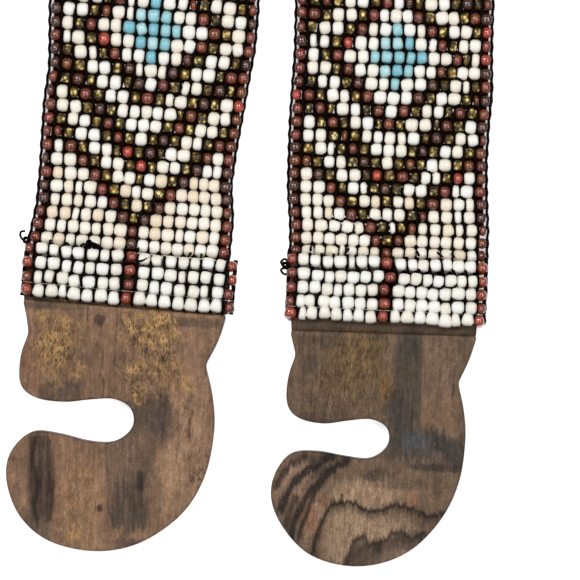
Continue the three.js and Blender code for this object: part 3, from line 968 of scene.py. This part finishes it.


# Wood tones. Heartwood of this kind is brown with grey-black bands, and some of it is flecked with ochre.
# The stains were charted, each as a soft oval: its middle and half sizes in the photograph's
# pixels, its lean in degrees, its colour and its strength. Fullness squares the ovals a little.
wood_tones = {"left": "#90715A", "right": "#78624F"}
fullness = 2.6
stains = {
    "left": [
        ("pale", 185, 440, 28, 85, 0, "#A38267", 0.8), ("pale", 80, 500, 28, 55, 0, "#A27E60", 0.85),
        ("pale", 30, 360, 14, 40, 0, "#8A664F", 0.7), ("pale", 100, 365, 26, 45, 0, "#85674F", 0.5),
        ("dark", 62, 392, 24, 12, 0, "#4F433C", 0.75), ("dark", 148, 414, 24, 20, 0, "#5A4D44", 0.9),
        ("dark", 160, 425, 24, 20, 30, "#5A4B42", 0.5), ("dark", 42, 478, 14, 52, 0, "#4A3B32", 0.95),
        ("dark", 36, 470, 6, 38, 0, "#3A2F2A", 0.6), ("dark", 130, 462, 25, 38, 0, "#665448", 0.85),
        ("dark", 128, 508, 22, 25, -6, "#52463E", 0.95), ("dark", 140, 481, 5, 10, -12, "#352C29", 0.9),
        ("dark", 99.5, 319, 6, 6, 0, "#403329", 1.0), ("dark", 100, 508, 3, 4, 20, "#2E2420", 0.9),
        ("dark", 35, 525, 22, 12, -35, "#54483F", 0.6), ("dark", 128, 545, 16, 7, -10, "#4A403A", 0.7),
        ("dark", 55, 306, 34, 4, -4, "#54463C", 0.7), ("dark", 190, 322, 36, 5, -5, "#4F433B", 0.7),
        ("dark", 68, 345, 10, 14, 0, "#564639", 0.6), ("dark", 120, 330, 8, 40, 0, "#6B5443", 0.4),
        ("ochre", 52, 345, 16, 32, 0, "#8E6B46", 0.75), ("ochre", 46, 352, 9, 22, 0, "#8E6B46", 0.8),
        ("ochre", 66, 330, 18, 20, 0, "#8E6B46", 0.6), ("ochre", 75, 366, 12, 12, 0, "#8E6B46", 0.6),
        ("ochre", 152, 330, 32, 20, 0, "#8E6B46", 0.9), ("ochre", 138, 368, 9, 12, 0, "#8E6B46", 0.8),
        ("ochre", 140, 396, 8, 9, 0, "#8E6B46", 0.75), ("ochre", 168, 372, 22, 18, 0, "#8E6B46", 0.5),
        ("ochre", 182, 386, 10, 9, 0, "#8E6B46", 0.7), ("ochre", 201, 316, 7, 5, 0, "#8E6B46", 0.6),
        ("ochre", 72, 535, 8, 10, 0, "#8E6B46", 0.6), ("ochre", 40, 318, 10, 8, 0, "#8E6B46", 0.5),
    ],
    "right": [
        ("pale", 440, 372, 20, 48, -2, "#7D6454", 0.8), ("pale", 440, 415, 20, 26, -4, "#80654F", 0.75),
        ("pale", 300, 350, 12, 16, 0, "#6F5546", 0.6), ("pale", 360, 525, 62, 24, 0, "#B4967B", 0.9),
        ("pale", 370, 492, 50, 17, 0, "#B39477", 0.9), ("pale", 345, 548, 26, 21, 0, "#AE9177", 0.85),
        ("pale", 300, 492, 27, 38, 25, "#AB8A74", 0.85), ("pale", 400, 555, 40, 15, 20, "#AB8F7A", 0.8),
        ("dark", 408, 380, 15, 58, -2, "#4A433B", 0.9), ("dark", 412, 345, 10, 18, 0, "#433C35", 0.6),
        ("dark", 398, 415, 16, 24, 10, "#4C443D", 0.8), ("dark", 422, 446, 36, 17, 0, "#47433F", 0.95),
        ("dark", 452, 452, 20, 16, 0, "#47413D", 0.9), ("blue", 414, 441, 17, 10, 0, "#5B6166", 0.7),
        ("pale", 436, 456, 8, 7, 20, "#776058", 0.8), ("pale", 386, 458, 7, 12, 0, "#70594B", 0.7),
        ("dark", 440, 468, 34, 4, -3, "#373130", 0.8), ("dark", 378, 475, 13, 7, 10, "#4A3E37", 0.8),
        ("dark", 330, 340, 16, 9, 0, "#4B4038", 0.75), ("dark", 306, 340, 12, 5, 0, "#4A3E36", 0.5),
        ("dark", 372, 337, 14, 5, 0, "#4B3F37", 0.7), ("dark", 326, 417, 30, 7, 0, "#574539", 0.6),
        ("dark", 345, 404, 16, 8, 0, "#5A4237", 0.6), ("dark", 310, 365, 8, 10, 0, "#4E443A", 0.6),
        ("dark", 330, 456, 26, 6, 8, "#4A3E36", 0.7), ("dark", 400, 484, 30, 6, 0, "#5A493F", 0.5),
        ("dark", 372, 556, 24, 14, 0, "#54463D", 0.7), ("dark", 408, 540, 18, 9, 20, "#5A4A40", 0.7),
        ("ochre", 357, 362, 32, 36, -6, "#8F724A", 0.8), ("ochre", 384, 384, 8, 20, 0, "#957440", 0.9),
        ("ochre", 376, 345, 9, 12, 0, "#7C683E", 0.8), ("ochre", 331, 375, 14, 24, -6, "#745C42", 0.7),
        ("red", 312, 518, 9, 30, 22, "#94664E", 0.9), ("red", 322, 497, 7, 14, 35, "#90664C", 0.8),
        ("red", 413, 497, 8, 8, 25, "#96644A", 0.9), ("red", 402, 507, 8, 6, 0, "#83594A", 0.5),
    ],
}
# Where fine cracks craze the wood: middle and half sizes in pixels, and strength.
crazed = {
    "left": [(152, 360, 30, 48, 0.9), (197, 472, 10, 26, 0.7), (183, 420, 10, 22, 0.8), (56, 346, 28, 36, 0.6),
             (75, 500, 24, 40, 0.35)],
    "right": [(345, 385, 50, 40, 0.5), (350, 520, 70, 40, 0.35)],
}
# Growth rings: the middle line in pixels, half width, how far a shade fades away from it downwards,
# and strength.
growth_rings = {
    "left": [
        ([(36, 440), (33, 462), (38, 484), (35, 505), (37, 520)], 1.6, 0, 0.8),
        ([(50, 440), (49, 470), (52, 498), (50, 520)], 1.6, 0, 0.6),
        ([(107, 444), (106, 462), (109, 482), (108, 505), (114, 526)], 1.0, 0, 0.5),
        ([(193, 410), (190, 425), (189, 436)], 0.6, 0, 0.8),
        ([(103, 402), (104, 388), (103, 378)], 0.6, 0, 0.7), ([(110, 400), (112, 380), (116, 352)], 0.5, 0, 0.5),
        ([(133, 404), (133, 372), (131, 340)], 0.6, 0, 0.5),
    ],
    "right": [
        ([(446, 512), (430, 516), (410, 508), (393, 506), (380, 511), (367, 510), (354, 504), (342, 502),
          (333, 506), (326, 514), (320, 528), (316, 540), (313, 553)], 1.7, 7, 1.0),
        ([(347, 564), (352, 549), (357, 539), (364, 537), (371, 544), (383, 541), (392, 534), (402, 533),
          (412, 538), (424, 534)], 1.8, 12, 0.9),
        ([(291, 536), (295, 522), (300, 510), (307, 496), (318, 483), (332, 470), (347, 461)], 2.8, 0, 1.0),
        ([(281, 511), (285, 499), (291, 487), (301, 475), (316, 466), (332, 457)], 2.9, 0, 1.0),
        ([(276, 486), (282, 474), (292, 464), (305, 456)], 2.2, 0, 0.85),
        ([(298, 541), (303, 524), (310, 506), (315, 494), (320, 487)], 1.6, 0, 0.9),
        ([(286, 527), (290, 512), (296, 498)], 2.2, 0, 0.8),
        ([(340, 502), (342, 494)], 1.0, 0, 0.8),
        ([(325, 470), (312, 478), (303, 490)], 1.3, 0, 0.5),
    ],
}


def soft_noise(x, y, seed):
    """Smooth noise from 0 to 1: random values on a square lattice, eased between neighbours."""
    values = np.random.default_rng(seed).random((257, 257))
    column, row = np.floor(x).astype(int), np.floor(y).astype(int)
    u, v = x - column, y - row
    u, v = u * u * (3 - 2 * u), v * v * (3 - 2 * v)
    column, row = column % 256, row % 256
    return ((values[row, column] * (1 - u) + values[row, column + 1] * u) * (1 - v)
            + (values[row + 1, column] * (1 - u) + values[row + 1, column + 1] * u) * v)


def wood_tone(points, hand):
    """Colour of the wood at each point: the plain tone, then each stain mixed in by how far inside its
    oval the point is, with edges that run along the grain in fine teeth, then the growth rings. Painted
    shade darkens the rounded edges and sides below the top face."""
    px, py = photo_pixels(points)
    teeth = 15 * (soft_noise(px * 0.9, py * 0.05, 3) - 0.5) + 11 * (soft_noise(px * 0.35, py * 0.03, 4) - 0.5)
    sway = 5 * (soft_noise(px * 0.06, py * 0.05, 5) - 0.5) + 2 * (soft_noise(px * 0.2, py * 0.12, 6) - 0.5)
    flames = 3 * np.maximum(soft_noise(px * 1.1, py * 0.1, 13) - 0.55, 0) * 2
    colour = np.tile(paint(wood_tones[hand]), (len(px), 1))
    streak = soft_noise(px * 0.22, py * 0.012, 7) * 0.5 + soft_noise(px * 0.7, py * 0.04, 8) * 0.5
    mottle = soft_noise(px * 0.09, py * 0.05, 11) * 0.5 + soft_noise(px * 0.3, py * 0.2, 12) * 0.5
    for kind, x, y, wide, high, lean, code, strength in stains[hand]:
        c, s = cos(radians(lean)), sin(radians(lean))
        dx, dy = px - x + sway * min(1, wide / 15), py - y + teeth * min(1, high / 25)
        across, down = np.abs(dx * c - dy * s) / wide, np.abs(dx * s + dy * c) / high
        apart = (across ** fullness + down ** fullness) ** (1 / fullness)
        edge = 0.42 if kind == "dark" else 0.75
        inside = np.clip((1.15 - apart) / edge, 0, 1)
        inside = inside * inside * (3 - 2 * inside) * strength
        if kind == "ochre":
            inside *= 0.35 + 0.65 * soft_noise(px * 0.4, py * 0.3, 9)
        if kind in ("red", "blue"):
            inside *= 0.4 + 0.6 * soft_noise(px * 0.5, py * 0.2, 9)
        if kind == "dark":
            inside *= 0.62 + 0.5 * soft_noise(px * 0.5, py * 0.035, 10)
        colour += (np.array(paint(code)) - colour) * inside[:, None]
    for line, wide, fade, strength in growth_rings[hand]:
        path = smooth_path(line, 10)
        spots = np.stack([px + 0.25 * sway, py + teeth * 0.3 + flames], -1)
        gap = spots[:, None] - path[None]
        apart = np.hypot(gap[..., 0], gap[..., 1])
        near = apart.argmin(1)
        nearest = apart.min(1)
        dark = np.clip(1.5 * np.exp(-(nearest / (wide * 1.35)) ** 2), 0, 1)
        if fade:
            below = np.take_along_axis(gap[..., 1], near[:, None], 1)[:, 0] > 0
            dark = np.maximum(dark, np.where(below, 0.7 * np.exp(-(nearest / fade) ** 2), 0))
        colour += (np.array(paint("#241B17")) - colour) * (dark * strength * 0.92)[:, None]
    colour[:, :3] *= (0.34 + 0.44 * streak + 0.54 * mottle)[:, None]
    # Painted shade: the rounded edges and sides below the top face are darkened.
    painted_side_shade = np.clip((wood_thickness - 0.0001 - points[:, 2]) / 0.0004, 0, 1)
    colour[:, :3] *= (1 - 0.45 * painted_side_shade)[:, None]
    return np.clip(colour, 0, 1)


def wood_material(name, fleck, slanted, roughness):
    """Oiled hardwood. The charted tone is broken up by fine grain along the hook, short dark pores and,
    on ochre wood, a net of bright flecks, and the same marks roughen and dent the surface slightly."""
    wood = Finish(name)
    place = wood.place()

    def pattern(scale, detail, low, high, vector=place, texture="TexNoise", output="Fac", **settings):
        stretched = wood.node("Mapping", {"Vector": vector, "Scale": scale}).outputs["Vector"]
        drawn = wood.node(texture, {"Vector": stretched, "Scale": 1, "Detail": detail}, **settings)
        return wood.remap(drawn.outputs[output], low, high)

    def edges(scale, wide):
        """Thin crooked lines between the cells of a Voronoi pattern, 1 on the line."""
        return pattern(scale, 0, wide, wide * 0.3, crooked, "TexVoronoi", "Distance",
                       feature="DISTANCE_TO_EDGE")

    def darken(colour, share, strength, shade):
        return wood.mix("MULTIPLY", wood.math("MULTIPLY", share, strength), colour, (*shade, 1.0))

    def both(a, b):
        return wood.math("MULTIPLY", a, b)

    wander = wood.noise({"Vector": place, "Scale": 700, "Detail": 2}, "Color")
    crooked = wood.node("VectorMath", {0: wander, 1: (0.0011, 0.0013, 0.0), 2: place},
                        operation="MULTIPLY_ADD").outputs["Vector"]
    grain = pattern((2300, 130, 600), 5, 0.36, 0.64)
    mottle = pattern((900, 420, 600), 4, 0.38, 0.64)
    speckle = pattern((2900, 2100, 1500), 3, 0.44, 0.66)
    pores = pattern((1500, 110, 400), 3, 0.66, 0.74)
    colour = darken(wood.attribute("tone", "Color"), grain, 0.42, (0.48, 0.45, 0.42))
    colour = darken(colour, mottle, 0.5, (0.58, 0.54, 0.50))
    colour = darken(colour, speckle, 0.6, (1.75, 1.70, 1.62))
    colour = darken(colour, pores, 0.7, (0.28, 0.25, 0.23))
    glints = pattern((2300, 900, 900), 2, 0.70, 0.75)
    colour = wood.mix("MIX", both(glints, 0.35), colour, paint("#BCA080"))
    broken = pattern((700, 300, 500), 3, 0.38, 0.50)
    cracks = both(both(edges((1300, 520, 900), 0.15), broken), wood.attribute("crazed"))
    colour = darken(colour, cracks, 0.95, (0.22, 0.19, 0.17))
    if slanted:
        slant = wood.node("Mapping", {"Vector": place, "Rotation": (0.0, 0.0, radians(20))}).outputs["Vector"]
        lines = both(pattern((2400, 170, 600), 3, 0.42, 0.60, slant), wood.attribute("ochre"))
        colour = darken(colour, lines, slanted, (0.48, 0.43, 0.36))
    if fleck:
        ochre = wood.attribute("ochre")
        dents = pattern((2100, 700, 900), 3, 0.50, 0.36)
        colour = darken(colour, both(dents, ochre), 0.9, (0.35, 0.31, 0.27))
        net = both(edges((2300, 720, 900), 0.20), pattern((520, 380, 500), 3, 0.40, 0.58))
        colour = wood.mix("MIX", both(both(net, ochre), fleck), colour, paint("#CFA468"))
    height = wood.math("SUBTRACT", both(speckle, 0.5), pores)
    return wood.shade({
        "Base Color": colour, "Normal": wood.bump(height, 0.35, 0.00012), "Roughness": roughness,
        "Specular IOR Level": 0.15,
    })


def marked(points, ovals):
    """How strongly some ovals mark the wood at each point, from 0 to 1, with edges that wander."""
    px, py = photo_pixels(points)
    px = px + 14 * (soft_noise(px * 0.11, py * 0.08, 21) - 0.5) + 8 * (soft_noise(px * 0.3, py * 0.2, 22) - 0.5)
    py = py + 16 * (soft_noise(px * 0.1, py * 0.07, 23) - 0.5) + 8 * (soft_noise(px * 0.3, py * 0.2, 24) - 0.5)
    share = np.zeros(len(px))
    for x, y, wide, high, strength in ovals:
        apart = np.hypot((px - x) / wide, (py - y) / high)
        share = np.maximum(share, strength * np.clip((1.3 - apart) / 0.8, 0, 1))
    return share


for hand, hook in hooks.items():
    material = wood_material(*hook["look"])
    ochre = [(*oval[1:5], oval[-1]) for oval in stains[hand] if oval[0] == "ochre"]
    for part, (points, faces) in (("hook_body", hook_body(hook)), ("hook_tongue", hook_tongue(hook))):
        placed = hook_point(hook, points)
        make_mesh(f"{part}_{hand}", placed, faces, material, hook["slot"], f"hook_{hand}",
                  tone=wood_tone(placed, hand), ochre=marked(placed, ochre),
                  crazed=marked(placed, crazed[hand]))

# Floor, lights and camera. A plain white table lit by broad soft lamps, and a camera straight above that
# sees the two ends and crops the band as the photograph does.
surface = Finish("white table").shade({
    "Base Color": paint("#F7F7F7"), "Roughness": 0.9, "Emission Color": (1.0, 1.0, 1.0, 1.0),
    "Emission Strength": 0.6,
})
corners = [(-3.0, -3.0, 0.0), (3.0, -3.0, 0.0), (3.0, 3.0, 0.0), (-3.0, 3.0, 0.0)]
mesh = bpy.data.meshes.new("table")
mesh.from_pydata(corners, [], [(0, 1, 2, 3)])
mesh.materials.append(surface)
table = bpy.data.objects.new("table", mesh)
bpy.context.scene.collection.objects.link(table)

world = bpy.data.worlds.new("studio")
world.use_nodes = True
world.node_tree.nodes["Background"].inputs["Color"].default_value = (1.0, 1.0, 1.0, 1.0)
world.node_tree.nodes["Background"].inputs["Strength"].default_value = 0.14
bpy.context.scene.world = world
lamps = {
    "window": {"place": (-0.45, 0.25, 1.1), "size": (0.36, 0.30), "power": 6.4},
    "soft_fill": {"place": (0.50, -0.35, 1.1), "size": (0.30, 0.30), "power": 3.6},
    "back_light": {"place": (0.30, 0.45, 1.1), "size": (0.30, 0.24), "power": 3.6},
    "side_light": {"place": (-0.45, -0.70, 1.0), "size": (0.28, 0.28), "power": 2.4},
}
look_at = np.array([photo_middle[0], photo_middle[1], 0.0])
for name, lamp in lamps.items():
    light = bpy.data.lights.new(name, "AREA")
    light.shape = "RECTANGLE"
    light.size, light.size_y = lamp["size"]
    light.energy = lamp["power"]
    holder = bpy.data.objects.new(name, light)
    holder.location = lamp["place"]
    aim = Vector(look_at.tolist()) - holder.location
    holder.rotation_euler = aim.to_track_quat("-Z", "Y").to_euler()
    bpy.context.scene.collection.objects.link(holder)

view_height = 0.9
view_plane = 0.005
camera = bpy.data.cameras.new("overhead")
camera.sensor_width = 36
camera.lens = camera.sensor_width * (view_height - view_plane) / (2 * photo_centre * photo_pixel)
camera.clip_end = 20
holder = bpy.data.objects.new("overhead", camera)
holder.location = (photo_middle[0], photo_middle[1], view_height)
holder.rotation_euler = (0, 0, photo_turn)
bpy.context.scene.collection.objects.link(holder)
bpy.context.scene.camera = holder
bpy.context.scene.view_settings.view_transform = "Standard"
